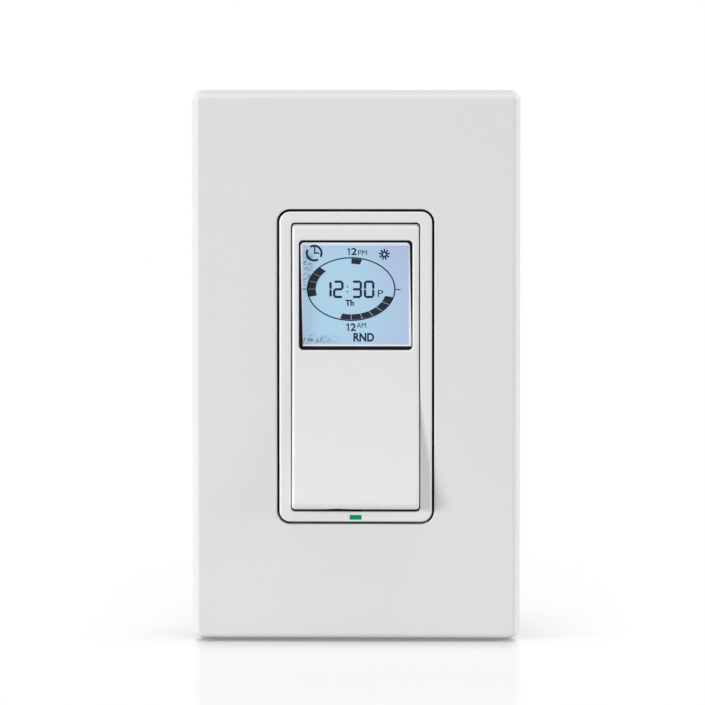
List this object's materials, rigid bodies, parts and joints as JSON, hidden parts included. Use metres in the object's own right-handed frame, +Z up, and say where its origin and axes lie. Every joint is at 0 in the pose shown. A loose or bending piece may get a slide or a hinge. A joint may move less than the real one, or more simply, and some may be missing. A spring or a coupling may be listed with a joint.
{
  "type": "timer light switch",
  "caption": "Wall-mounted timer switch: screwless plate, framed push pad with a lit display window that presses and flips up over programming keys, strap and wired rear housing.",
  "frame": {"origin": "on the wall plane, midway between the two wall-box screws", "axes": "+X to the viewer's right, +Y into the wall, +Z up"},
  "size_m": [0.0698, 0.0423, 0.117],
  "materials": {
    "white_plastic": "gloss white moulded plastic",
    "grey_plastic": "satin light grey plastic",
    "key_plastic": "satin mid grey plastic",
    "enter_plastic": "satin green-grey plastic",
    "dark_plastic": "dark moulded plastic",
    "housing_plastic": "matte charcoal plastic",
    "display_glass": "lit display glass",
    "diffuser": "white light guide",
    "contact_rubber": "contact rubber",
    "green_lens": "green clear plastic",
    "ivory_plastic": "ivory plastic",
    "switch_metal": "pressed steel",
    "zinc_steel": "zinc plated steel",
    "black_steel": "black oxide steel",
    "white_screw": "white painted steel",
    "fibre": "red-brown fibre",
    "green_screw": "green dyed steel",
    "brass": "brass",
    "board_green": "green solder mask",
    "board_tan": "tan board",
    "relay_blue": "blue plastic",
    "film_yellow": "yellow plastic",
    "can_sleeve": "dark sleeve",
    "copper_winding": "wound copper",
    "fuse_body": "green-brown resin"
  },
  "bodies": {
    "root": {"wall_plate": "white_plastic", "bezel_frame": "white_plastic", "plate_subframe": "grey_plastic", "lcd_frame": "dark_plastic", "pad_switch": "dark_plastic", "controller_chip": "dark_plastic", "board_header": "dark_plastic", "rear_housing": "housing_plastic", "front_cover": "housing_plastic", "lcd_panel": "display_glass", "backlight": "diffuser", "status_led": "diffuser", "zebra_strips": "contact_rubber", "light_pipe": "green_lens", "key_switches": "switch_metal", "mounting_screws": "zinc_steel", "housing_screws": "zinc_steel", "control_board_screws": "zinc_steel", "power_board_screws": "zinc_steel", "clock_crystal": "zinc_steel", "terminal_clamps": "zinc_steel", "mounting_strap": "black_steel", "plate_screws": "white_screw", "screw_retainers": "fibre", "ground_screw": "green_screw", "terminal_plates": "brass", "terminal_screws": "brass", "control_board": "board_green", "power_board": "board_tan", "relay": "relay_blue", "surge_varistor": "relay_blue", "suppression_capacitor": "film_yellow", "smoothing_capacitor": "can_sleeve", "backup_capacitor": "can_sleeve", "power_inductor": "copper_winding", "fuse": "fuse_body"},
    "hinge_pin": {"pad_hinge_pin": "black_steel"},
    "pad": {"push_pad": "white_plastic"},
    "pad_plunger": {"pad_plunger": "ivory_plastic"},
    "up_key": {"up_key": "key_plastic", "up_plunger": "dark_plastic"},
    "down_key": {"down_key": "key_plastic", "down_plunger": "dark_plastic"},
    "left_key": {"left_key": "key_plastic", "left_plunger": "dark_plastic"},
    "right_key": {"right_key": "key_plastic", "right_plunger": "dark_plastic"},
    "enter_key": {"enter_key": "enter_plastic", "enter_plunger": "dark_plastic"}
  },
  "joints": [
    {"name": "pad_press", "type": "hinge", "parent": "root", "child": "hinge_pin", "pos_m": [0, -0.00705, 0.0291], "axis": [1, 0, 0], "range_deg": [0, 0.8], "stiffness_Nm_per_rad": 6},
    {"name": "pad_flip", "type": "hinge", "parent": "hinge_pin", "child": "pad", "pos_m": [0, -0.00705, 0.0291], "axis": [-1, 0, 0], "range_deg": [0, 95]},
    {"name": "pad_plunger_push", "type": "slide", "parent": "root", "child": "pad_plunger", "axis": [0, 1, 0], "range_m": [0, 0.0008]},
    {"name": "up_key_push", "type": "slide", "parent": "root", "child": "up_key", "axis": [0, 1, 0], "range_m": [0, 0.00035], "stiffness_N_per_m": 2000},
    {"name": "down_key_push", "type": "slide", "parent": "root", "child": "down_key", "axis": [0, 1, 0], "range_m": [0, 0.00035], "stiffness_N_per_m": 2000},
    {"name": "left_key_push", "type": "slide", "parent": "root", "child": "left_key", "axis": [0, 1, 0], "range_m": [0, 0.00035], "stiffness_N_per_m": 2000},
    {"name": "right_key_push", "type": "slide", "parent": "root", "child": "right_key", "axis": [0, 1, 0], "range_m": [0, 0.00035], "stiffness_N_per_m": 2000},
    {"name": "enter_key_push", "type": "slide", "parent": "root", "child": "enter_key", "axis": [0, 1, 0], "range_m": [0, 0.00035], "stiffness_N_per_m": 2000}
  ],
  "couplings": [
    {"joint": "pad_plunger_push", "follows": "pad_press", "m_per_rad": 0.0533}
  ]
}
